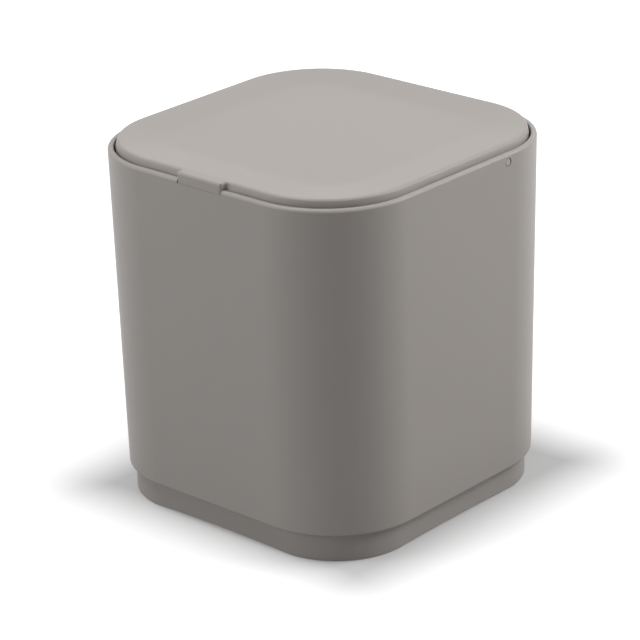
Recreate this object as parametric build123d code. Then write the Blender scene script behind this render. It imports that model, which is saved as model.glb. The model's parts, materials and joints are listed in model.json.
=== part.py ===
"""Push top countertop bin: a rounded square body with a see-saw lid on two side pins.

The bin stands on z = 0 with its middle on the Z axis. Its front, with the lid's tab, faces -Y.
"""

from build123d import *
import math
import os

os.makedirs("parts", exist_ok=True)

# Outer body (mm)
rim_width = 165.0
rim_depth = 165.0
rim_height = 170.8
rim_corner_radius = 43.8
foot_corner_radius = 44.4
body_taper = 1.9
body_foot_height = 13.8
body_foot_round = 1.2
body_wall = 2.9
body_floor = 2.6
body_floor_round = 5.0
rim_round = 1.3

# Plinth under the body
plinth_inset = 4.1
plinth_corner_radius = 37.5
plinth_wall = 2.4
plinth_plate = 2.4
plinth_edge_round = 0.8
arch_depth = 0.85
arch_reach = 5.0
arch_ramp = 26.0

# Foot pads and the screws hidden above them
pad_radius = 7.5
pad_thickness = 1.6
pad_proud = 0.3
pad_corner_inset = 21.0
pad_side_clearance = 0.1
base_screw_radius = 1.5
base_head_radius = 2.8
base_head_height = 1.5
base_screw_length = 9.0
base_boss_radius = 4.6
base_boss_height = 7.8

# Lid
lid_gap = 0.88
lid_corner_ease = 1.1
lid_rise = 3.3
lid_edge_round = 1.0
cover_wall = 2.0
cover_plate = 2.2
dish_depth = 1.2
dish_margin = 2.5
dish_slope_width = 16.0

# Tab at the front of the lid, and its notch in the rim
tab_width = 26.5
tab_nose_radius = 1.2
tab_root_radius = 3.0
notch_depth = 2.0
tab_side_clearance = 0.15
rest_pad_length = 18.0
rest_pad_width = 1.5
rest_pad_thickness = 1.0
rest_pad_proud = 0.15
rest_pad_clearance = 0.05

# Side pins and their bushes
pin_radius = 1.95
pin_drop = 4.2
pin_setback = 32.6
pin_head_recess = 0.1
pin_end_round = 0.6
pin_hole_clearance = 0.02
pin_hole_bevel = 0.35
pin_running_clearance = 0.05
bush_wall = 1.25
bush_fit_clearance = 0.02
bush_face_recess = 0.1
bush_end_wall = 1.0
boss_wall = 1.2
boss_length = 8.0
pin_end_gap = 0.6

# Plate that closes the lid from below, and its screws
pan_thickness = 1.6
pan_clearance = 0.15
pan_boss_gap = 0.4
pan_screw_inset = 26.0
pan_screw_radius = 1.25
pan_head_radius = 2.4
pan_head_height = 1.3
pan_screw_length = 7.0
pan_post_radius = 3.2

# Shared by both kinds of screw
screw_grip = 0.03
screw_slack = 0.2
screw_hole_spare = 0.6
drive_slot_width = 0.7
drive_slot_share = 0.5

# Stop for the open lid
lid_opening_angle = 75.0
stop_rib_width = 3.0
stop_rib_reach = 5.0
stop_lever = 14.0
stop_clearance = 0.1

# Worked out from the sizes above
overcut = 1.0
pick_slack = 0.01
half_width = rim_width / 2
half_depth = rim_depth / 2
plinth_low = pad_proud
plate_top = plinth_low + plinth_plate
floor_top = body_foot_height + body_floor
notch_floor = rim_height - notch_depth
lid_top = rim_height + lid_rise
lid_width = rim_width - 2 * (body_wall + lid_gap)
lid_depth = rim_depth - 2 * (body_wall + lid_gap)
lid_corner_radius = rim_corner_radius - body_wall + lid_corner_ease
pin_height = rim_height - pin_drop
bush_radius = pin_radius + pin_running_clearance + bush_wall
boss_radius = bush_radius + boss_wall
pan_top = pin_height - boss_radius - pan_boss_gap
lid_low = pan_top - pan_thickness
ceiling = lid_top - dish_depth - cover_plate
tab_low = notch_floor + rest_pad_proud


def inward_at(height):
    """How far the body's outside has come in from the rim's width, on each side."""
    return body_taper * (rim_height - height) / (rim_height - body_foot_height)


def body_section(height, inset):
    """The body's rounded square outline at a height, moved in by inset."""
    share = (rim_height - height) / (rim_height - body_foot_height)
    radius = rim_corner_radius + share * (foot_corner_radius - rim_corner_radius)
    shrink = 2 * (inward_at(height) + inset)
    outline = RectangleRounded(rim_width - shrink, rim_depth - shrink, radius - inset)
    return Pos(0, 0, height) * outline


def slab(width, depth, radius, low, high):
    """A rounded rectangle raised from one height to another."""
    return Pos(0, 0, low) * extrude(RectangleRounded(width, depth, radius), high - low)


def block(low_corner, high_corner):
    """An upright box between two opposite corners."""
    size = [high - low for low, high in zip(low_corner, high_corner)]
    middle = [(high + low) / 2 for low, high in zip(low_corner, high_corner)]
    return Pos(*middle) * Box(*size)


def post(radius, x, y, low, high):
    """An upright cylinder."""
    return Pos(x, y, (low + high) / 2) * Cylinder(radius, high - low)


def rod_x(radius, x_from, x_to, y, z):
    """A cylinder along X."""
    middle = (x_from + x_to) / 2
    return Pos(middle, y, z) * Rot(0, 90, 0) * Cylinder(radius, abs(x_to - x_from))


def four_corners(x, y):
    """The four places at plus and minus x and y."""
    return [(sx * x, sy * y) for sy in (-1, 1) for sx in (-1, 1)]


def edges_at(solid, height):
    """The edges that lie flat at a height."""
    return solid.edges().filter_by_position(Axis.Z, height - pick_slack, height + pick_slack)


def body_envelope():
    """The outside of the body as one solid, rounded along its lower edge."""
    outside = loft([body_section(body_foot_height, 0), body_section(rim_height, 0)], ruled=True)
    return fillet(edges_at(outside, body_foot_height), body_foot_round)


def body_cavity():
    """The room inside the body, running on past the rim."""
    low = body_section(floor_top, body_wall)
    high = body_section(rim_height + overcut, body_wall)
    room = loft([low, high], ruled=True)
    return fillet(edges_at(room, floor_top), body_floor_round)


def screw_places():
    """Middles of the foot pads and base screws, in from the plinth's corners."""
    inset = body_taper + plinth_inset + pad_corner_inset
    return four_corners(half_width - inset, half_depth - inset)


def stop_rib(side):
    """A rib up one side wall that the open lid's underside comes down on."""
    turn = math.radians(lid_opening_angle)
    nose = stop_rib_width / 2
    off_plate = pin_height - lid_low + nose + stop_clearance
    y = pin_setback - off_plate * math.sin(turn) + stop_lever * math.cos(turn)
    z = pin_height - off_plate * math.cos(turn) - stop_lever * math.sin(turn)
    wall_face = half_width - inward_at(z) - body_wall
    x_in = wall_face - stop_rib_reach
    x_out = half_width - body_taper - body_wall / 2
    rib = block((x_in, y - nose, floor_top - body_floor / 2), (x_out, y + nose, z))
    rib += rod_x(nose, x_in, x_out, y, z)
    return rib if side > 0 else mirror(rib, Plane.YZ)


def make_outer_body():
    """The moulded body: walls, floor, notch, pin holes, stop ribs and screw bosses."""
    body = body_envelope() - body_cavity()
    top_round = min(rim_round, 0.45 * body_wall)
    body = fillet(edges_at(body, rim_height), top_round)
    notch_half = tab_width / 2 + tab_side_clearance
    body -= block(
        (-notch_half, -half_depth - overcut, notch_floor),
        (notch_half, -half_depth + body_wall + overcut, rim_height + overcut),
    )
    face = half_width - inward_at(pin_height)
    hole = pin_radius + pin_hole_clearance
    for side in (-1, 1):
        body += stop_rib(side)
        outer = side * (face + overcut)
        inner = side * (face - body_wall - overcut)
        body -= rod_x(hole, outer, inner, pin_setback, pin_height)
        bevel = Cone(hole, hole + 2 * pin_hole_bevel, 2 * pin_hole_bevel)
        body -= Pos(side * face, pin_setback, pin_height) * Rot(0, side * 90, 0) * bevel
    boss_low = body_foot_height - base_boss_height
    pilot_top = plate_top_of_screw() + base_screw_length + screw_hole_spare
    for x, y in screw_places():
        body += post(base_boss_radius, x, y, boss_low, body_foot_height + body_floor / 2)
        body -= post(base_screw_radius + screw_grip, x, y, boss_low - overcut, pilot_top)
    return body


def plate_top_of_screw():
    """Height of the seat under a base screw's head, above the foot pad's pocket."""
    return plinth_low + pad_thickness - pad_proud + base_head_height


def arch_cutter(along_x):
    """A shallow wedge that lifts the plinth's lower edge between two of its corners."""
    run = (half_width if along_x else half_depth) - body_taper - plinth_inset
    foot = run - plinth_corner_radius + arch_reach
    flat = foot - arch_ramp
    base = -overcut
    outline = Polyline(
        (-foot, base), (foot, base), (foot, plinth_low),
        (flat, plinth_low + arch_depth), (-flat, plinth_low + arch_depth), (-foot, plinth_low),
        close=True,
    )
    reach = 2 * (half_width + half_depth)
    plane = Plane.XZ if along_x else Plane.YZ
    return extrude(plane * make_face(outline), reach / 2, both=True)


def make_base_plinth():
    """The recessed foot: a tray with arched lower edges and a post over each pad."""
    inset = 2 * (body_taper + plinth_inset)
    width = rim_width - inset
    depth = rim_depth - inset
    high = body_foot_height + body_foot_round
    plinth = slab(width, depth, plinth_corner_radius, plinth_low, high)
    plinth = fillet(edges_at(plinth, plinth_low), plinth_edge_round)
    inner_radius = plinth_corner_radius - plinth_wall
    trim = 2 * plinth_wall
    plinth -= slab(width - trim, depth - trim, inner_radius, plate_top, high + overcut)
    plinth -= body_envelope()
    plinth -= arch_cutter(True)
    plinth -= arch_cutter(False)
    seat = plate_top_of_screw()
    post_top = body_foot_height - base_boss_height
    for x, y in screw_places():
        plinth += post(base_boss_radius, x, y, plinth_low + plinth_plate / 2, post_top)
        pocket = pad_radius + pad_side_clearance
        plinth -= post(pocket, x, y, plinth_low - overcut, plinth_low + pad_thickness - pad_proud)
        plinth -= post(base_head_radius + screw_slack, x, y, plinth_low, seat)
        plinth -= post(base_screw_radius + screw_slack, x, y, seat - overcut, post_top + overcut)
    return plinth


def make_foot_pad(x, y):
    """A round rubber pad standing just proud of its pocket."""
    pad = post(pad_radius, x, y, 0, pad_thickness)
    return fillet(edges_at(pad, 0), pad_proud)


def screw(x, y, seat, head_radius, head_height, radius, length):
    """A pan head screw that points up, with a cross cut in its head."""
    head = post(head_radius, x, y, seat - head_height, seat)
    head = fillet(edges_at(head, seat - head_height), head_height * drive_slot_share)
    slot_top = seat - head_height * drive_slot_share
    arm = head_radius * drive_slot_share
    half = drive_slot_width / 2
    low = seat - head_height - overcut
    head -= block((x - arm, y - half, low), (x + arm, y + half, slot_top))
    head -= block((x - half, y - arm, low), (x + half, y + arm, slot_top))
    shank = post(radius, x, y, seat, seat + length)
    return head + chamfer(edges_at(shank, seat + length), radius * drive_slot_share)


def make_base_screws():
    """Four screws that hold the plinth to the body, hidden by the pads."""
    seat = plate_top_of_screw()
    made = [
        screw(x, y, seat, base_head_radius, base_head_height, base_screw_radius, base_screw_length)
        for x, y in screw_places()
    ]
    return Compound(children=made)


def pan_screw_places():
    """Middles of the screws that hold the lid's lower plate."""
    return four_corners(lid_width / 2 - pan_screw_inset, lid_depth / 2 - pan_screw_inset)


def dish():
    """The shallow sunken middle of the lid's top, as a solid to cut away."""
    spread = dish_slope_width / dish_depth
    lift = dish_depth / 4
    sections = []
    for height, inset in (
        (lid_top - dish_depth, dish_margin + dish_slope_width),
        (lid_top + lift, dish_margin - spread * lift),
    ):
        radius = lid_corner_radius - inset
        plan = RectangleRounded(lid_width - 2 * inset, lid_depth - 2 * inset, radius)
        sections.append(Pos(0, 0, height) * plan)
    return loft(sections, ruled=True)


def tab_block(low, high):
    """The tab between two heights, from the body's front face back into the lid."""
    half = tab_width / 2
    front = -half_depth + inward_at(notch_floor)
    tab = block((-half, front, low), (half, -lid_depth / 2 + cover_wall, high))
    nose = tab.edges().filter_by(Axis.Z).group_by(Axis.Y)[0]
    return fillet(nose, tab_nose_radius)


def lid_top_block(low):
    """The lid above the rim, with the tab run into its edge by two hollow corners."""
    top = slab(lid_width, lid_depth, lid_corner_radius, low, lid_top) + tab_block(low, lid_top)
    edge = -lid_depth / 2
    uprights = top.edges().filter_by(Axis.Z).filter_by_position(Axis.Y, edge - pick_slack, edge + pick_slack)
    half = tab_width / 2 + pick_slack
    top = fillet(uprights.filter_by_position(Axis.X, -half, half), tab_root_radius)
    return fillet(edges_at(top, lid_top), lid_edge_round)


def make_lid_cover():
    """The lid's top and sides in one moulding, with tab, pin bosses and screw posts."""
    side_clear = rim_height + tab_side_clearance
    cover = lid_top_block(side_clear)
    cover += slab(lid_width, lid_depth, lid_corner_radius, lid_low, side_clear)
    cover += tab_block(tab_low, side_clear)
    cover -= dish()
    trim = 2 * cover_wall
    inner_radius = lid_corner_radius - cover_wall
    room = slab(lid_width - trim, lid_depth - trim, inner_radius, lid_low - overcut, ceiling)
    cover -= room
    inner_face = lid_width / 2 - cover_wall
    for side in (-1, 1):
        near = side * (inner_face - boss_length)
        far = side * (inner_face + cover_wall / 2)
        low_x, high_x = sorted((near, far))
        cover += rod_x(boss_radius, near, far, pin_setback, pin_height)
        cover += block(
            (low_x, pin_setback - boss_radius, pin_height),
            (high_x, pin_setback + boss_radius, ceiling + cover_plate / 2),
        )
        bore = bush_radius + bush_fit_clearance
        end = side * (lid_width / 2 + overcut)
        cover -= rod_x(bore, near - side * overcut, end, pin_setback, pin_height)
    pilot_top = pan_seat() + pan_screw_length + screw_hole_spare
    for x, y in pan_screw_places():
        cover += post(pan_post_radius, x, y, pan_top, ceiling + cover_plate / 2)
        cover -= post(pan_screw_radius + screw_grip, x, y, pan_top - overcut, pilot_top)
    half_pad = rest_pad_length / 2 + rest_pad_clearance
    front, back = rest_pad_span(rest_pad_clearance)
    pocket_top = tab_low + rest_pad_thickness - rest_pad_proud
    cover -= block((-half_pad, front, tab_low - overcut), (half_pad, back, pocket_top))
    return cover


def pan_seat():
    """Height of the face that the lower plate's screw heads pull against."""
    return lid_low


def rest_pad_span(clearance):
    """Front and back of the tab's rest pad, in the middle of the rim's wall."""
    middle = -half_depth + body_wall / 2
    half = rest_pad_width / 2 + clearance
    return middle - half, middle + half


def make_tab_rest_pad():
    """A soft strip under the tab that lands on the floor of the notch."""
    front, back = rest_pad_span(0)
    half = rest_pad_length / 2
    return block((-half, front, notch_floor), (half, back, notch_floor + rest_pad_thickness))


def make_lid_underpan():
    """The plate that closes the lid from below, flush with the cover's lower edge."""
    trim = 2 * (cover_wall + pan_clearance)
    radius = lid_corner_radius - cover_wall - pan_clearance
    pan = slab(lid_width - trim, lid_depth - trim, radius, lid_low, pan_top)
    for x, y in pan_screw_places():
        hole = pan_screw_radius + screw_slack
        pan -= post(hole, x, y, lid_low - overcut, pan_top + overcut)
    return pan


def make_underpan_screws():
    """Four screws up through the lid's lower plate into the cover's posts."""
    made = [
        screw(x, y, pan_seat(), pan_head_radius, pan_head_height, pan_screw_radius, pan_screw_length)
        for x, y in pan_screw_places()
    ]
    return Compound(children=made)


def make_pivot_bush(side):
    """The bush in the lid's side that turns on the pin, closed at its inner end."""
    outer = lid_width / 2 - bush_face_recess
    inner = lid_width / 2 - cover_wall - boss_length
    bush = rod_x(bush_radius, side * outer, side * inner, pin_setback, pin_height)
    bore = pin_radius + pin_running_clearance
    far = side * (outer + overcut)
    near = side * (inner + bush_end_wall)
    return bush - rod_x(bore, far, near, pin_setback, pin_height)


def make_hinge_pin(side):
    """The pin through the body's side wall, with its rounded end almost flush outside."""
    outer = half_width - inward_at(pin_height) - pin_head_recess
    inner = lid_width / 2 - cover_wall - boss_length + bush_end_wall + pin_end_gap
    pin = rod_x(pin_radius, side * outer, side * inner, pin_setback, pin_height)
    rim = pin.edges().filter_by_position(Axis.X, side * outer - pick_slack, side * outer + pick_slack)
    return fillet(rim, pin_end_round)


nodes = {
    "outer_body": make_outer_body(),
    "base_plinth": make_base_plinth(),
    "base_screws": make_base_screws(),
    "hinge_pin_left": make_hinge_pin(-1),
    "hinge_pin_right": make_hinge_pin(1),
    "lid_cover": make_lid_cover(),
    "lid_underpan": make_lid_underpan(),
    "underpan_screws": make_underpan_screws(),
    "pivot_bush_left": make_pivot_bush(-1),
    "pivot_bush_right": make_pivot_bush(1),
    "tab_rest_pad": make_tab_rest_pad(),
}
pad_names = ["front_left", "front_right", "rear_left", "rear_right"]
for name, (x, y) in zip(pad_names, screw_places()):
    nodes[f"foot_pad_{name}"] = make_foot_pad(x, y)

for name, shape in nodes.items():
    export_step(shape, f"parts/{name}.step")
    print(name, round(shape.volume, 1))
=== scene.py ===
import json
import math

import bmesh
import bpy
from mathutils import Matrix, Vector


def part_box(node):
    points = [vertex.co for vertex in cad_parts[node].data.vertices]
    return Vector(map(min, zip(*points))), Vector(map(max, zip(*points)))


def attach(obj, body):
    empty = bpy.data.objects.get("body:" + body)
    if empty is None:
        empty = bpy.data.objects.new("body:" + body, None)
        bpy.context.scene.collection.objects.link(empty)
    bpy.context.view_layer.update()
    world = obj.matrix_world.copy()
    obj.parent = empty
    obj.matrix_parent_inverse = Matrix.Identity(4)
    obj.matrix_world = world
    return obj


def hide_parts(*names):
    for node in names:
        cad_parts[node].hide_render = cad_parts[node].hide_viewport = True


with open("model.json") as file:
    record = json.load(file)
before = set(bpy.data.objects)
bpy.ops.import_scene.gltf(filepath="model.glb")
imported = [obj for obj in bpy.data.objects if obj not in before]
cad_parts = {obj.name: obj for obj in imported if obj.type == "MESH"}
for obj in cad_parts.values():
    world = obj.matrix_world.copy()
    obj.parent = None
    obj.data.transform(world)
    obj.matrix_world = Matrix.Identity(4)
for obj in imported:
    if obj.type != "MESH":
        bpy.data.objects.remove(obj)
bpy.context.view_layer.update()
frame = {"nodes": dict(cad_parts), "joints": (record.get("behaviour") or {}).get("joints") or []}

mm = 0.001
up = (0, 0, 1)


# places read from the frame

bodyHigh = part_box("outer_body")[1]
plinthLow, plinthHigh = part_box("base_plinth")
lidLow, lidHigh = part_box("lid_cover")
panLow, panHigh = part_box("lid_underpan")
padLow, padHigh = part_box("foot_pad_front_right")
restLow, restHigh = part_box("tab_rest_pad")
pinLow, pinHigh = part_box("hinge_pin_right")
bushLow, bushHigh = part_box("pivot_bush_right")
tilt = frame["joints"][0]
pinSpot = Vector(tilt["pos_m"])
openAngle = math.radians(tilt["range_deg"][1])


# modelling by hand: small helpers round the edit mode operators

def takeUp(piece):
    # makes this piece the only chosen one
    bpy.ops.object.select_all(action="DESELECT")
    piece.select_set(True)
    bpy.context.view_layer.objects.active = piece


def openMesh(piece):
    takeUp(piece)
    bpy.ops.object.mode_set(mode="EDIT")


def closeMesh():
    bpy.ops.object.mode_set(mode="OBJECT")


def addBlock(name, low, high):
    bpy.ops.object.select_all(action="DESELECT")
    middle = [(a + b) / 2 for a, b in zip(low, high)]
    bpy.ops.mesh.primitive_cube_add(size=1, location=middle)
    piece = bpy.context.object
    piece.name = name
    piece.scale = [b - a for a, b in zip(low, high)]
    bpy.ops.object.transform_apply(location=True, rotation=True, scale=True)
    return piece


def addRod(name, radius, start, end, steps=64):
    bpy.ops.object.select_all(action="DESELECT")
    line = Vector(end) - Vector(start)
    turn = Vector(up).rotation_difference(line).to_euler()
    middle = (Vector(start) + Vector(end)) / 2
    bpy.ops.mesh.primitive_cylinder_add(
        vertices=steps, radius=radius, depth=line.length, location=middle, rotation=turn
    )
    piece = bpy.context.object
    piece.name = name
    bpy.ops.object.transform_apply(location=True, rotation=True, scale=True)
    return piece


def pick(kind, wanted):
    # selects just the corners, edges or faces that pass a test
    bpy.ops.mesh.select_mode(type=kind)
    bpy.ops.mesh.select_all(action="DESELECT")
    mesh = bmesh.from_edit_mesh(bpy.context.edit_object.data)
    parts = {"VERT": mesh.verts, "EDGE": mesh.edges, "FACE": mesh.faces}[kind]
    for part in [part for part in parts if wanted(part)]:
        part.select_set(True)
    bmesh.update_edit_mesh(bpy.context.edit_object.data)


def close(a, b, slack=0.02 * mm):
    return abs(a - b) < slack


def edgeFlatAt(height):
    return lambda edge: all(close(end.co.z, height) for end in edge.verts)


def edgeUpright(edge, share=0.5):
    a, b = (end.co for end in edge.verts)
    line = b - a
    return abs(line.z) > share * line.length


def borderAt(height, difference=0.6):
    # edges at a height where a level face meets a wall
    def wanted(edge):
        if len(edge.link_faces) != 2 or not edgeFlatAt(height)(edge):
            return False
        a, b = (face.normal.z for face in edge.link_faces)
        return abs(a - b) > difference
    return wanted


def faceAt(axis, place, facing, share=0.9):
    # faces that lie across an axis at a place and look one way along it
    def wanted(face):
        return close(face.calc_center_median()[axis], place) and face.normal[axis] * facing > share
    return wanted


def bevelPicked(width, steps):
    bpy.ops.mesh.bevel(offset=width, segments=steps, affect="EDGES", clamp_overlap=False)


def pushPicked(move):
    bpy.ops.mesh.extrude_region_move(TRANSFORM_OT_translate={"value": move})


def cutPicked(point, across):
    bpy.ops.mesh.bisect(plane_co=point, plane_no=across)


def resizePicked(share, middle):
    bpy.ops.transform.resize(value=share, center_override=middle)


def joinShapes(piece, other, how):
    # one shape taken from or added to another, and the other one is then gone
    cut = piece.modifiers.new(how.lower(), "BOOLEAN")
    cut.operation = how
    cut.solver = "EXACT"
    cut.object = other
    takeUp(piece)
    bpy.ops.object.modifier_apply(modifier=cut.name)
    bpy.data.objects.remove(other, do_unlink=True)


def bevelSharp(piece, width, steps, angle=50):
    # takes the sharpness off every hard edge
    takeUp(piece)
    soften = piece.modifiers.new("soften", "BEVEL")
    soften.width = width
    soften.segments = steps
    soften.limit_method = "ANGLE"
    soften.angle_limit = math.radians(angle)
    bpy.ops.object.modifier_apply(modifier=soften.name)


def smoothPiece(piece, angle=32, weight=90):
    # soft shading with crisp corners, where the large faces lead
    takeUp(piece)
    bpy.ops.object.shade_smooth_by_angle(angle=math.radians(angle))
    lead = piece.modifiers.new("lead", "WEIGHTED_NORMAL")
    lead.keep_sharp = True
    lead.weight = weight
    bpy.ops.object.modifier_apply(modifier=lead.name)


def roundedBlock(name, low, high, radius, steps):
    # an upright block with its four standing edges rounded
    piece = addBlock(name, low, high)
    openMesh(piece)
    pick("EDGE", edgeUpright)
    bevelPicked(radius, steps)
    closeMesh()
    return piece


def fourCorners(place):
    return [(a * place, b * place) for b in (-1, 1) for a in (-1, 1)]


# In the pieces' settings, a name that ends in Round holds a radius and a number of steps.

# outer body: one moulded shell, open at the top

bodySet = {
    "footHeight": 13.8 * mm,
    "taper": 1.9 * mm,
    "cornerRadius": 44.1 * mm,
    "cornerSteps": 28,
    "wall": 2.9 * mm,
    "floor": 2.6 * mm,
    "floorRound": (5.0 * mm, 6),
    "footRound": (1.2 * mm, 5),
    "rimOuterRound": (1.6 * mm, 7),
    "rimInnerRound": (0.8 * mm, 4),
    "rimInnerBand": 0.1 * mm,
    "rimFilletLoss": 0.015 * mm,
    "notchWidth": 26.6 * mm,
    "notchDepth": 2.0 * mm,
    "notchRound": (0.4 * mm, 40),
    "pinHole": 1.97 * mm,
    "pinHoleRound": (0.35 * mm, 3),
    "pinHoleBand": 0.1 * mm,
    "ribWidth": 3.0 * mm,
    "ribReach": 5.0 * mm,
    "ribLever": 14.0 * mm,
    "ribGap": 0.1 * mm,
    "ribHeadShare": 0.98,  # of half its width, so that its two rounds don't meet
    "ribHeadSteps": 6,
    "bossRadius": 4.6 * mm,
    "bossSteps": 40,
    "bossHeight": 7.8 * mm,
    "bossInset": 27.0 * mm,
}


def makeBodyShell(s):
    rim, foot = bodyHigh.z, s["footHeight"]
    half = bodyHigh.x + s["rimFilletLoss"]
    inner = half - s["wall"]
    piece = addBlock("bodyShell", (-half, -half, foot), (half, half, rim))
    openMesh(piece)
    pick("VERT", lambda corner: close(corner.co.z, foot))
    share = (half - s["taper"]) / half
    resizePicked((share, share, 1), (0, 0, foot))
    pick("EDGE", edgeUpright)
    bevelPicked(s["cornerRadius"], s["cornerSteps"])
    pick("FACE", faceAt(2, rim, 1))
    bpy.ops.mesh.inset(thickness=s["wall"])
    floorTop = foot + s["floor"]
    pushPicked((0, 0, floorTop - rim))
    drop = s["taper"] * (rim - floorTop) / (rim - foot)
    share = (inner - drop) / inner
    resizePicked((share, share, 1), (0, 0, floorTop))
    pick("EDGE", edgeFlatAt(foot))
    bevelPicked(*s["footRound"])
    pick("EDGE", edgeFlatAt(floorTop))
    bevelPicked(*s["floorRound"])
    outerEdge = half - s["wall"] / 2
    pick("EDGE", lambda edge: edgeFlatAt(rim)(edge) and reachOf(edge, s["cornerRadius"], half) > outerEdge)
    bevelPicked(*s["rimOuterRound"])
    nearInner = inner + s["rimInnerBand"]
    pick("EDGE", lambda edge: edgeFlatAt(rim)(edge) and reachOf(edge, s["cornerRadius"], half) < nearInner)
    bevelPicked(*s["rimInnerRound"])
    closeMesh()
    cutNotch(piece, s, half, rim)
    for side in (-1, 1):
        addStopRib(piece, s, side, half, rim, foot)
        cutPinHole(piece, s, side, half)
    addBosses(piece, s, half, foot)
    smoothPiece(piece)
    return piece


def reachOf(edge, radius, half):
    # how far out an edge lies, measured across the rounded square's outline
    x, y = (abs(edge.verts[0].co[axis] + edge.verts[1].co[axis]) / 2 for axis in (0, 1))
    core = half - radius
    if min(x, y) < core:
        return max(x, y)
    return core + math.hypot(x - core, y - core)


def cutNotch(piece, s, half, rim):
    # a slot with rounded shoulders where it meets the rim
    wide = s["notchWidth"] / 2
    bend, steps = s["notchRound"]
    front = -half - s["wall"]
    back = -half + 2 * s["wall"]
    cutter = addBlock("notchCutter", (-wide, front, rim - s["notchDepth"]), (wide, back, rim + 2 * bend))
    mouth = addBlock("mouth", (-wide - bend, front, rim - bend), (wide + bend, back, rim + bend))
    for side in (-1, 1):
        x, z = side * (wide + bend), rim - bend
        shoulder = addRod("shoulder", bend, (x, front - bend, z), (x, back + bend, z), steps)
        joinShapes(mouth, shoulder, "DIFFERENCE")
    joinShapes(cutter, mouth, "UNION")
    joinShapes(piece, cutter, "DIFFERENCE")


def cutPinHole(piece, s, side, half):
    outside = (side * (half + s["wall"]), pinSpot.y, pinSpot.z)
    inside = (side * (half - 3 * s["wall"]), pinSpot.y, pinSpot.z)
    joinShapes(piece, addRod("pinCutter", s["pinHole"], outside, inside), "DIFFERENCE")
    face = half - s["taper"] * (bodyHigh.z - pinSpot.z) / (bodyHigh.z - s["footHeight"])

    def atMouth(end):
        reach = math.hypot(end.co.y - pinSpot.y, end.co.z - pinSpot.z)
        return close(reach, s["pinHole"]) and close(end.co.x, side * face, s["pinHoleBand"])

    openMesh(piece)
    pick("EDGE", lambda edge: all(atMouth(end) for end in edge.verts))
    bevelPicked(*s["pinHoleRound"])
    closeMesh()


def addStopRib(piece, s, side, half, rim, foot):
    # the open lid's lower plate comes down on the rounded head of this rib
    nose = s["ribWidth"] / 2
    lever = s["ribLever"]
    away = pinSpot.z - panLow.z + nose + s["ribGap"]
    y = pinSpot.y - away * math.sin(openAngle) + lever * math.cos(openAngle)
    z = pinSpot.z - away * math.cos(openAngle) - lever * math.sin(openAngle)
    wallFace = half - s["taper"] * (rim - z) / (rim - foot) - s["wall"]
    near = side * (wallFace - s["ribReach"])
    far = side * (half - s["taper"] - s["wall"] / 2)
    low = (min(near, far), y - nose, foot + s["floor"] / 2)
    high = (max(near, far), y + nose, z + nose)
    rib = addBlock("rib", low, high)
    openMesh(rib)
    pick("EDGE", lambda edge: edgeFlatAt(z + nose)(edge) and close(edge.verts[0].co.y, edge.verts[1].co.y))
    bevelPicked(nose * s["ribHeadShare"], s["ribHeadSteps"])
    closeMesh()
    joinShapes(piece, rib, "UNION")


def addBosses(piece, s, half, foot):
    # posts under the floor for the plinth's screws
    for x, y in fourCorners(half - s["bossInset"]):
        low = (x, y, foot - s["bossHeight"])
        high = (x, y, foot + s["floor"] / 2)
        joinShapes(piece, addRod("boss", s["bossRadius"], low, high, s["bossSteps"]), "UNION")


# recessed foot: a tray whose lower edge is arched between its corners

plinthSet = {
    "cornerRadius": 37.5 * mm,
    "cornerSteps": 26,
    "wall": 2.4 * mm,
    "plate": 2.4 * mm,
    "top": bodySet["footHeight"],
    "edgeRound": (0.7 * mm, 3),
    "archDepth": 0.85 * mm,
    "archReach": 5.0 * mm,
    "archSteps": 16,
    "padPocket": 7.6 * mm,
    "padSteps": 48,
    "padPlace": 55.5 * mm,
}


def makePlinth(s):
    half = plinthHigh.x
    low, top = plinthLow.z, s["top"]
    radius, steps = s["cornerRadius"], s["cornerSteps"]
    piece = roundedBlock("plinthTray", (-half, -half, low), (half, half, top), radius, steps)
    openMesh(piece)
    pick("FACE", faceAt(2, top, 1))
    bpy.ops.mesh.inset(thickness=s["wall"])
    pushPicked((0, 0, low + s["plate"] - top))
    closeMesh()
    for axis in (0, 1):
        joinShapes(piece, archCutter(s, half, low, axis), "DIFFERENCE")
    for x, y in fourCorners(s["padPlace"]):
        pocket = addRod("pocket", s["padPocket"], (x, y, -low), (x, y, padHigh.z), s["padSteps"])
        joinShapes(piece, pocket, "DIFFERENCE")
    bevelSharp(piece, *s["edgeRound"])
    openMesh(piece)
    # by the arches' ends the bevel leaves a few corners too low, and they go back up
    pick("VERT", lambda corner: corner.co.z < low)
    resizePicked((1, 1, 0), (0, 0, low))
    closeMesh()
    smoothPiece(piece)
    return piece


def archCutter(s, half, low, axis):
    # a long low hump, highest halfway between two corners
    reach = half - s["cornerRadius"] + s["archReach"]
    size = [2 * half, 2 * half]
    size[axis] = reach
    cutter = addBlock("archCutter", (-size[0], -size[1], -low), (size[0], size[1], low))
    steps = s["archSteps"]
    places = [reach * (2 * i / steps - 1) for i in range(1, steps)]
    across = [0, 0, 0]
    across[axis] = 1
    openMesh(cutter)
    for place in places:
        bpy.ops.mesh.select_all(action="SELECT")
        cutPicked([place * share for share in across], across)
    for place in places:
        pick("VERT", lambda corner: close(corner.co.z, low) and close(corner.co[axis], place))
        lift = s["archDepth"] * (1 - (place / reach) ** 2)
        bpy.ops.transform.translate(value=(0, 0, lift))
    closeMesh()
    return cutter


# lid: dished top, side walls and the finger tab

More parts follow.
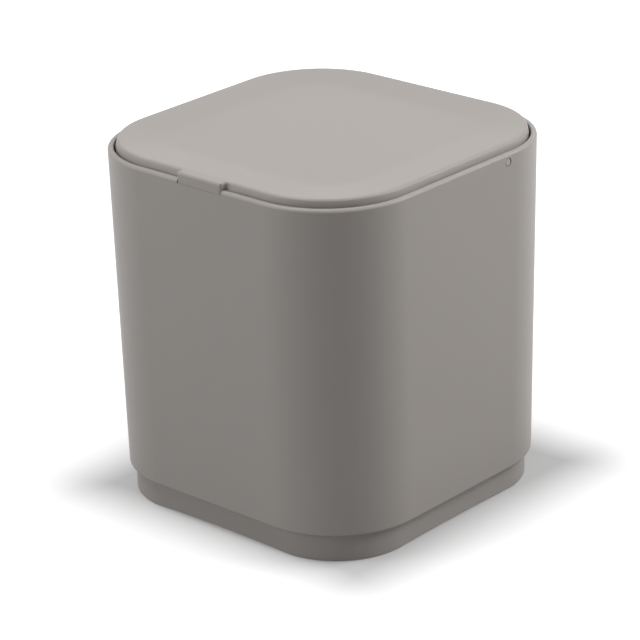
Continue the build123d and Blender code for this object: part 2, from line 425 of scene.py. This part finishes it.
lidSet = {
    "cornerRadius": 42.0 * mm,
    "cornerSteps": 28,
    "edgeRound": (1.0 * mm, 6),
    "topInset": 0.1 * mm,
    "skirtSide": 0.7 * mm,
    "skirtFront": 0.48 * mm,
    "skirtRear": 0.33 * mm,
    "wall": 2.0 * mm,
    "plate": 2.2 * mm,
    "dishDepth": 1.45 * mm,
    "dishMargin": 1.5 * mm,
    # the dish's rings from its edge inwards: width in mm, and how steep
    "dishSlope": ((1.2, 0.5), (15.5, 1.0), (1.5, 0.85), (1.5, 0.65), (1.5, 0.45), (1.5, 0.25), (1.5, 0.1)),
    "tabWidth": 26.5 * mm,
    "tabLow": 168.85 * mm,
    "tabRootLow": 170.85 * mm,
    "tabNoseRound": (1.2 * mm, 8),
    "tabRootRound": (1.0 * mm, 8),
    "tabEdgeRound": (0.1 * mm, 2),
    "pocketSpare": 0.05 * mm,
    "bushSpare": 0.02 * mm,
    "slack": 0.01 * mm,
}


def makeLidShell(s):
    half = lidHigh.x
    low, top = lidLow.z, lidHigh.z
    radius, steps = s["cornerRadius"], s["cornerSteps"]
    piece = roundedBlock("lidShell", (-half, -half, low), (half, half, top), radius, steps)
    openMesh(piece)
    pullTab(s, half)
    leanWalls(s, half, low, top)
    pick("EDGE", borderAt(top))
    bevelPicked(*s["edgeRound"])
    closeMesh()
    trimTab(piece, s, half, low)
    inner = half - s["wall"]
    roof = top - s["dishDepth"] - s["plate"]
    start = (-inner, -inner, low - s["wall"])
    end = (inner, inner, roof)
    joinShapes(piece, roundedBlock("room", start, end, radius - s["wall"], steps), "DIFFERENCE")
    joinShapes(piece, dishCutter(s, half, top), "DIFFERENCE")
    bushHole = (bushHigh.z - bushLow.z) / 2 + s["bushSpare"]
    for side in (-1, 1):
        start = (side * (half + s["wall"]), pinSpot.y, pinSpot.z)
        end = (side * (half - 2 * s["wall"]), pinSpot.y, pinSpot.z)
        joinShapes(piece, addRod("bushCutter", bushHole, start, end), "DIFFERENCE")
    smoothPiece(piece)
    return piece


def leanWalls(s, half, low, top):
    # the wall spreads a little from the top down to the rim, and the tab stays upright
    bpy.ops.mesh.select_all(action="SELECT")
    cutPicked((0, 0, s["tabRootLow"]), up)
    below = s["tabRootLow"] + s["slack"]
    behind = -half - s["slack"]
    pick("VERT", lambda corner: corner.co.z < below and corner.co.y > behind)
    front, rear = s["skirtFront"], s["skirtRear"]
    share = (1 + s["skirtSide"] / half, 1 + (front + rear) / (2 * half), 1)
    resizePicked(share, (0, half * (front - rear) / (front + rear), low))
    pick("VERT", lambda corner: close(corner.co.z, top) and corner.co.y > behind)
    share = 1 - s["topInset"] / half
    resizePicked((share, share, 1), (0, 0, top))


def pullTab(s, half):
    # the middle of the front wall is pulled out and its standing edges rounded
    wide = s["tabWidth"] / 2
    for place in (-wide, wide):
        pick("FACE", faceAt(1, -half, -1))
        cutPicked((place, 0, 0), (1, 0, 0))
    pick("FACE", lambda face: faceAt(1, -half, -1)(face) and abs(face.calc_center_median().x) < wide)
    pushPicked((0, lidLow.y + half, 0))
    pick("EDGE", lambda edge: standingAt(edge, wide, -half))
    bevelPicked(*s["tabRootRound"])
    pick("EDGE", lambda edge: standingAt(edge, wide, lidLow.y))
    bevelPicked(*s["tabNoseRound"])


def standingAt(edge, x, y):
    return all(close(abs(end.co.x), x) and close(end.co.y, y) for end in edge.verts)


def trimTab(piece, s, half, low):
    # clears what the pulled wall left below the tab, and beside it below the rim
    wide = s["tabWidth"] / 2
    far = 2 * wide
    front = lidLow.y - s["wall"]
    deep = low - s["wall"]
    skirt = -half - s["skirtFront"]
    cuts = (
        ((-far, front, deep), (far, skirt, s["tabLow"])),
        ((-far, front, deep), (-wide, skirt, s["tabRootLow"])),
        ((wide, front, deep), (far, skirt, s["tabRootLow"])),
    )
    for start, end in cuts:
        joinShapes(piece, addBlock("trimCutter", start, end), "DIFFERENCE")
    openMesh(piece)
    nose = -half - s["tabNoseRound"][0]
    pick("EDGE", lambda edge: edgeFlatAt(s["tabLow"])(edge) and all(end.co.y < nose for end in edge.verts))
    bevelPicked(*s["tabEdgeRound"])
    closeMesh()
    spare = s["pocketSpare"]
    pocketLow = (restLow.x - spare, restLow.y - spare, s["tabLow"] - spare)
    pocketHigh = (restHigh.x + spare, restHigh.y + spare, restHigh.z + spare)
    joinShapes(piece, addBlock("pocket", pocketLow, pocketHigh), "DIFFERENCE")


def dishCutter(s, half, top):
    # rings stepped in and down: an even slope that eases into the flat middle
    edge = half - s["topInset"] - s["dishMargin"]
    radius = s["cornerRadius"] - s["dishMargin"]
    high = top + s["plate"]
    cutter = roundedBlock("dishCutter", (-edge, -edge, top), (edge, edge, high), radius, s["cornerSteps"])
    openMesh(cutter)
    pick("FACE", faceAt(2, top, -1))
    fall = sum(wide * steep for wide, steep in s["dishSlope"])
    for wide, steep in s["dishSlope"]:
        bpy.ops.mesh.inset(thickness=wide * mm, depth=s["dishDepth"] * wide * steep / fall)
    closeMesh()
    return cutter


# lower plate of the lid

panSet = {
    "cornerRadius": 39.85 * mm,
    "cornerSteps": 24,
    "edgeRound": (0.4 * mm, 3),
    "panelInset": 30.0 * mm,
    "panelStep": 1.0 * mm,
    "panelDepth": 0.5 * mm,
}


def makeUnderPan(s):
    piece = roundedBlock("underPan", panLow, panHigh, s["cornerRadius"], s["cornerSteps"])
    openMesh(piece)
    pick("FACE", faceAt(2, panLow.z, -1))
    bpy.ops.mesh.inset(thickness=s["panelInset"])
    bpy.ops.mesh.inset(thickness=s["panelStep"], depth=-s["panelDepth"])
    pick("EDGE", borderAt(panLow.z))
    bevelPicked(*s["edgeRound"])
    closeMesh()
    smoothPiece(piece)
    return piece


# soft pads

footPadSet = {
    "steps": 48,
    "rings": ((1.2, 0), (0.3, 0.2), (0.8, 0), (0.3, -0.2)) * 2,  # step inwards and lift, in mm
    "edgeRound": (0.3 * mm, 3),
}


def makeFootPad(name, x, y, s):
    radius = (padHigh.x - padLow.x) / 2
    pad = addRod(name, radius, (x, y, 0), (x, y, padHigh.z), s["steps"])
    openMesh(pad)
    pick("FACE", faceAt(2, 0, -1))
    for step, lift in s["rings"]:
        bpy.ops.mesh.inset(thickness=step * mm)
        bpy.ops.transform.translate(value=(0, 0, lift * mm))
    pick("EDGE", borderAt(0))
    bevelPicked(*s["edgeRound"])
    closeMesh()
    smoothPiece(pad)
    return pad


restPadSet = {
    "edgeRound": (0.3 * mm, 3),
}


def makeRestPad(s):
    pad = addBlock("restPad", restLow, restHigh)
    bevelSharp(pad, *s["edgeRound"])
    smoothPiece(pad)
    return pad


# side pins

pinSet = {
    "endRound": (0.8 * mm, 6),
}


def makePin(name, side, s):
    radius = (pinHigh.z - pinLow.z) / 2
    outside = (side * pinHigh.x, pinSpot.y, pinSpot.z)
    inside = (side * pinLow.x, pinSpot.y, pinSpot.z)
    pin = addRod(name, radius, inside, outside)
    openMesh(pin)
    pick("EDGE", lambda edge: all(close(end.co.x, side * pinHigh.x) for end in edge.verts))
    bevelPicked(*s["endRound"])
    closeMesh()
    smoothPiece(pin)
    return pin


# finishes

class Wire:
    # a socket that takes part in sums; each sum adds its Math node
    def __init__(self, tree, socket):
        self.tree = tree
        self.socket = socket

    def maths(self, operation, first, second=0):
        node = self.tree.nodes.new("ShaderNodeMath")
        node.operation = operation
        for socket, value in zip(node.inputs, (first, second)):
            if isinstance(value, Wire):
                self.tree.links.new(value.socket, socket)
            else:
                socket.default_value = value
        return Wire(self.tree, node.outputs[0])

    def __add__(self, other):
        return self.maths("ADD", self, other)

    def __radd__(self, other):
        return self.maths("ADD", other, self)

    def __sub__(self, other):
        return self.maths("SUBTRACT", self, other)

    def __rsub__(self, other):
        return self.maths("SUBTRACT", other, self)

    def __mul__(self, other):
        return self.maths("MULTIPLY", self, other)

    def __rmul__(self, other):
        return self.maths("MULTIPLY", other, self)

    def __pow__(self, other):
        return self.maths("POWER", self, other)

    def __abs__(self):
        return self.maths("ABSOLUTE", self)

    def atLeast(self, other):
        return self.maths("MAXIMUM", self, other)


class Finish:
    # a material, or the world, built up node by node
    def __init__(self, owner, end="OutputMaterial"):
        owner.use_nodes = True
        self.owner = owner
        self.end = end
        self.tree = owner.node_tree
        self.tree.nodes.clear()

    def add(self, kind, settings=None, sockets=None, out=0):
        node = self.tree.nodes.new("ShaderNode" + kind)
        for key, value in (settings or {}).items():
            setattr(node, key, value)
        for key, value in (sockets or {}).items():
            if isinstance(value, Wire):
                self.tree.links.new(value.socket, node.inputs[key])
            else:
                node.inputs[key].default_value = value
        # the last node of a tree has no output
        return Wire(self.tree, node.outputs[out]) if node.outputs else None

    def show(self, surface):
        self.add(self.end, sockets={"Surface": surface})
        return self.owner


def noise(f, place, scale, detail, rough):
    return f.add("TexNoise", sockets={"Vector": place, "Scale": scale, "Detail": detail, "Roughness": rough})


def shaded(f, colour, shade):
    # a colour made a little lighter or darker by a shade around 1
    grey = f.add("CombineColor", sockets={0: shade, 1: shade, 2: shade})
    kind = {"data_type": "RGBA", "blend_type": "MULTIPLY"}
    return f.add("Mix", kind, {"Factor": 1.0, 6: (*colour, 1), 7: grey}, out=2)


# In the finishes, cloud, fine, grit, speck and brush are noises: scale, detail and roughness.

plasticSet = {
    "cloud": (18.0, 3.0, 0.5),
    "cloudSheen": 0.08,
    "fine": (900.0, 2.0, 0.5),
    "fineSheen": 0.05,
    "grit": (2600.0, 3.0, 0.6),
    "bump": 0.35,
    "ior": 1.38,
}
shellPlastic = {"colour": (0.304, 0.282, 0.265), "mottle": 0.03, "roughness": 0.45, "grain": 0.04 * mm}
pinPlastic = {"colour": (0.34, 0.322, 0.31), "mottle": 0.02, "roughness": 0.42, "grain": 0.02 * mm}
bushPlastic = {"colour": (0.78, 0.77, 0.74), "mottle": 0.02, "roughness": 0.35, "grain": 0.02 * mm}


def mouldedPlastic(name, s, kind):
    # satin moulded plastic: faint cloudy tone, fine eroded grain, slightly uneven sheen
    f = Finish(bpy.data.materials.new(name))
    place = f.add("TexCoord", out="Object")
    cloud = noise(f, place, *s["cloud"]) - 0.5
    fine = noise(f, place, *s["fine"]) - 0.5
    grit = noise(f, place, *s["grit"])
    tone = shaded(f, kind["colour"], 1 + cloud * kind["mottle"] + fine * kind["mottle"])
    sheen = kind["roughness"] + cloud * s["cloudSheen"] + fine * s["fineSheen"]
    bump = f.add("Bump", sockets={"Strength": s["bump"], "Distance": kind["grain"], "Height": grit})
    sockets = {"Base Color": tone, "Roughness": sheen, "Normal": bump, "IOR": s["ior"]}
    return f.show(f.add("BsdfPrincipled", sockets=sockets))


rubberSet = {
    "colour": (0.09, 0.088, 0.085),
    "speck": (1400.0, 4.0, 0.7),
    "mottle": 0.25,
    "roughness": 0.78,
    "speckSheen": 0.1,
    "bump": 0.5,
    "grain": 0.08 * mm,
}


def softRubber(name, s):
    f = Finish(bpy.data.materials.new(name))
    speck = noise(f, f.add("TexCoord", out="Object"), *s["speck"])
    tone = shaded(f, s["colour"], 1 + (speck - 0.5) * s["mottle"])
    sheen = s["roughness"] + (speck - 0.5) * s["speckSheen"]
    bump = f.add("Bump", sockets={"Strength": s["bump"], "Distance": s["grain"], "Height": speck})
    return f.show(f.add("BsdfPrincipled", sockets={"Base Color": tone, "Roughness": sheen, "Normal": bump}))


steelSet = {
    "colour": (0.62, 0.62, 0.61, 1),
    "stretch": (1, 1, 12),
    "brush": (1200.0, 4.0, 0.6),
    "roughness": 0.3,
    "brushSheen": 0.2,
    "bump": 0.25,
    "grain": 0.03 * mm,
}


def platedSteel(name, s):
    f = Finish(bpy.data.materials.new(name))
    place = f.add("TexCoord", out="Object")
    brush = noise(f, f.add("Mapping", sockets={"Vector": place, "Scale": s["stretch"]}), *s["brush"])
    sheen = s["roughness"] + (brush - 0.5) * s["brushSheen"]
    bump = f.add("Bump", sockets={"Strength": s["bump"], "Distance": s["grain"], "Height": brush})
    sockets = {"Base Color": s["colour"], "Metallic": 1.0, "Roughness": sheen, "Normal": bump}
    return f.show(f.add("BsdfPrincipled", sockets=sockets))


def dress(piece, material):
    piece.data.materials.clear()
    piece.data.materials.append(material)


# room: pale floor with a painted shadow round the foot, white surroundings and plain studio light

roomSet = {
    "floorSize": 12.0,
    "floorShade": 0.4,
    "floorGlow": 0.77,
    # the glow rises between these two distances from the foot and leaves a painted shadow round it, whose
    # middle sits a little off the foot's middle
    "paintedShadowFrom": -20 * mm,
    "paintedShadowTo": 45 * mm,
    "paintedShadowMiddle": (1 * mm, 5 * mm),
    "farGlow": 0.3,
    "farFrom": 100 * mm,
    "farTo": 700 * mm,
}


def seenStraight(f):
    # 1 where the eye or a reflection looks, 0 where light is only passed on
    rays = ("Is Camera Ray", "Is Glossy Ray", "Is Transmission Ray")
    camera, glossy, through = (f.add("LightPath", out=ray) for ray in rays)
    return camera.atLeast(glossy.atLeast(through))


def awayFromFoot(f, middle):
    # distance over the floor from the square that the foot stands in, which places the painted shadow round
    # it
    place = f.add("TexCoord", out="Object")
    square = 0
    for axis in (0, 1):
        along = f.add("SeparateXYZ", sockets={0: place}, out=axis) - middle[axis]
        over = (abs(along) - plinthHigh.x).atLeast(0)
        square = square + over * over
    return square ** 0.5


def makeFloor(s):
    # floor with a paint colour and a glow of its own; the glow is weaker under and round the foot, which
    # paints a soft shadow there
    bpy.ops.object.select_all(action="DESELECT")
    bpy.ops.mesh.primitive_plane_add(size=s["floorSize"], location=(0, 0, 0))
    floor = bpy.context.object
    floor.name = "floor"
    f = Finish(bpy.data.materials.new("paleFloor"))
    shade = s["floorShade"]
    paint = f.add("BsdfDiffuse", sockets={"Color": (shade, shade, shade, 1)})
    away = awayFromFoot(f, s["paintedShadowMiddle"])
    near = {"Value": away, "From Min": s["paintedShadowFrom"], "From Max": s["paintedShadowTo"], "To Max": s["floorGlow"]}
    far = {"Value": away, "From Min": s["farFrom"], "From Max": s["farTo"], "To Max": s["farGlow"]}
    # the glow fades in away from the foot: this is the painted shadow round it
    paintedShadowFade = f.add("MapRange", {"interpolation_type": "SMOOTHSTEP"}, near)
    glow = f.add("Emission", sockets={"Color": paintedShadowFade + f.add("MapRange", sockets=far)})
    lit = f.add("AddShader", sockets={0: paint, 1: glow})
    mixed = f.add("MixShader", sockets={0: seenStraight(f), 1: paint, 2: lit})
    floor.data.materials.append(f.show(mixed))


def makeSurroundings():
    # white to the eye and in reflections, and dark for all other light
    world = bpy.data.worlds.new("room")
    bpy.context.scene.world = world
    f = Finish(world, "OutputWorld")
    f.show(f.add("Background", sockets={"Color": (1, 1, 1, 1), "Strength": seenStraight(f)}))


# lamps: turn round the object and lift above the floor in degrees, size in m, power in W
lampSet = {
    "topLeft": {"turn": -48, "lift": 65, "size": 0.7, "power": 9.2},
    "topRight": {"turn": 132, "lift": 50, "size": 0.7, "power": 3.5},
    "topFront": {"turn": 72, "lift": 60, "size": 0.7, "power": 2.3},
    "topBack": {"turn": 222, "lift": 65, "size": 0.6, "power": 1.1},
    "left": {"turn": -33, "lift": 15, "size": 0.7, "power": 5.8},
    "front": {"turn": 42, "lift": 30, "size": 0.7, "power": 1.5},
    "right": {"turn": 132, "lift": 30, "size": 0.7, "power": 9.4},
    "rightLow": {"turn": 142, "lift": 15, "size": 0.7, "power": 1.6},
    "backLow": {"turn": 222, "lift": 5, "size": 0.5, "power": 0.7},
}
lampAim = Vector((0, 0, 100 * mm))
lampDistance = 1.3


def aroundFrom(turn, lift):
    # a direction by its turn from the front and its lift above the floor
    a, b = math.radians(turn), math.radians(lift)
    return Vector((math.sin(a) * math.cos(b), -math.cos(a) * math.cos(b), math.sin(b)))


def addLamp(name, s):
    light = bpy.data.lights.new(name, "AREA")
    light.shape = "SQUARE"
    light.size = s["size"]
    light.energy = s["power"]
    lamp = bpy.data.objects.new(name, light)
    bpy.context.scene.collection.objects.link(lamp)
    away = aroundFrom(s["turn"], s["lift"])
    lamp.location = lampAim + away * lampDistance
    lamp.rotation_euler = away.to_track_quat("Z", "Y").to_euler()


# camera: a long lens from the front right, a little above

cameraSet = {
    "azimuth": 41.91,
    "elevation": 22.16,
    "roll": -1.51,
    "distance": 1.4298,
    "aimHeight": 82.5 * mm,
    "lens": 171.65,
    "sensor": 36.0,
    "shift": (-0.0114, -0.0076),
}


def makeCamera(s):
    back = aroundFrom(s["azimuth"], s["elevation"])
    turn, roll = math.radians(s["azimuth"]), math.radians(s["roll"])
    right = Vector((math.cos(turn), math.sin(turn), 0))
    above = back.cross(right)
    rightRolled = right * math.cos(roll) + above * math.sin(roll)
    aboveRolled = above * math.cos(roll) - right * math.sin(roll)
    view = bpy.data.cameras.new("view")
    view.lens = s["lens"]
    view.sensor_width = s["sensor"]
    view.shift_x, view.shift_y = s["shift"]
    camera = bpy.data.objects.new("view", view)
    bpy.context.scene.collection.objects.link(camera)
    camera.matrix_world = Matrix((rightRolled, aboveRolled, back)).transposed().to_4x4()
    camera.location = Vector((0, 0, s["aimHeight"])) + back * s["distance"]
    bpy.context.scene.camera = camera


# making it all

greyShell = mouldedPlastic("satinGrey", plasticSet, shellPlastic)
greyPin = mouldedPlastic("smoothGrey", plasticSet, pinPlastic)
paleBush = mouldedPlastic("paleAcetal", plasticSet, bushPlastic)
darkRubber = softRubber("darkRubber", rubberSet)
steel = platedSteel("zincSteel", steelSet)
print("finishes made")

bodyShell = makeBodyShell(bodySet)
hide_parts("outer_body")
print("body shell made")
plinthTray = makePlinth(plinthSet)
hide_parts("base_plinth")
print("plinth made")
lidShell = makeLidShell(lidSet)
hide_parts("lid_cover")
underPan = makeUnderPan(panSet)
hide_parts("lid_underpan")
print("lid made")

for piece in (bodyShell, plinthTray, lidShell, underPan):
    dress(piece, greyShell)
for piece in (bodyShell, plinthTray):
    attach(piece, "bin")
for piece in (lidShell, underPan):
    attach(piece, "lid")

for side, name in ((-1, "left"), (1, "right")):
    pin = makePin("pin" + name.capitalize(), side, pinSet)
    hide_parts("hinge_pin_" + name)
    dress(pin, greyPin)
    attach(pin, "bin")
    dress(frame["nodes"]["pivot_bush_" + name], paleBush)

for name in ("front_left", "front_right", "rear_left", "rear_right"):
    low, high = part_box("foot_pad_" + name)
    pad = makeFootPad("footPad_" + name, (low.x + high.x) / 2, (low.y + high.y) / 2, footPadSet)
    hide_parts("foot_pad_" + name)
    dress(pad, darkRubber)
    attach(pad, "bin")
restPad = makeRestPad(restPadSet)
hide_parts("tab_rest_pad")
dress(restPad, darkRubber)
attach(restPad, "bin")
for name in ("base_screws", "underpan_screws"):
    dress(frame["nodes"][name], steel)
print("small pieces made")

makeFloor(roomSet)
makeSurroundings()
for name, settings in lampSet.items():
    addLamp(name, settings)
makeCamera(cameraSet)
bpy.context.scene.view_settings.view_transform = "Standard"
print("room, lamps and camera set")
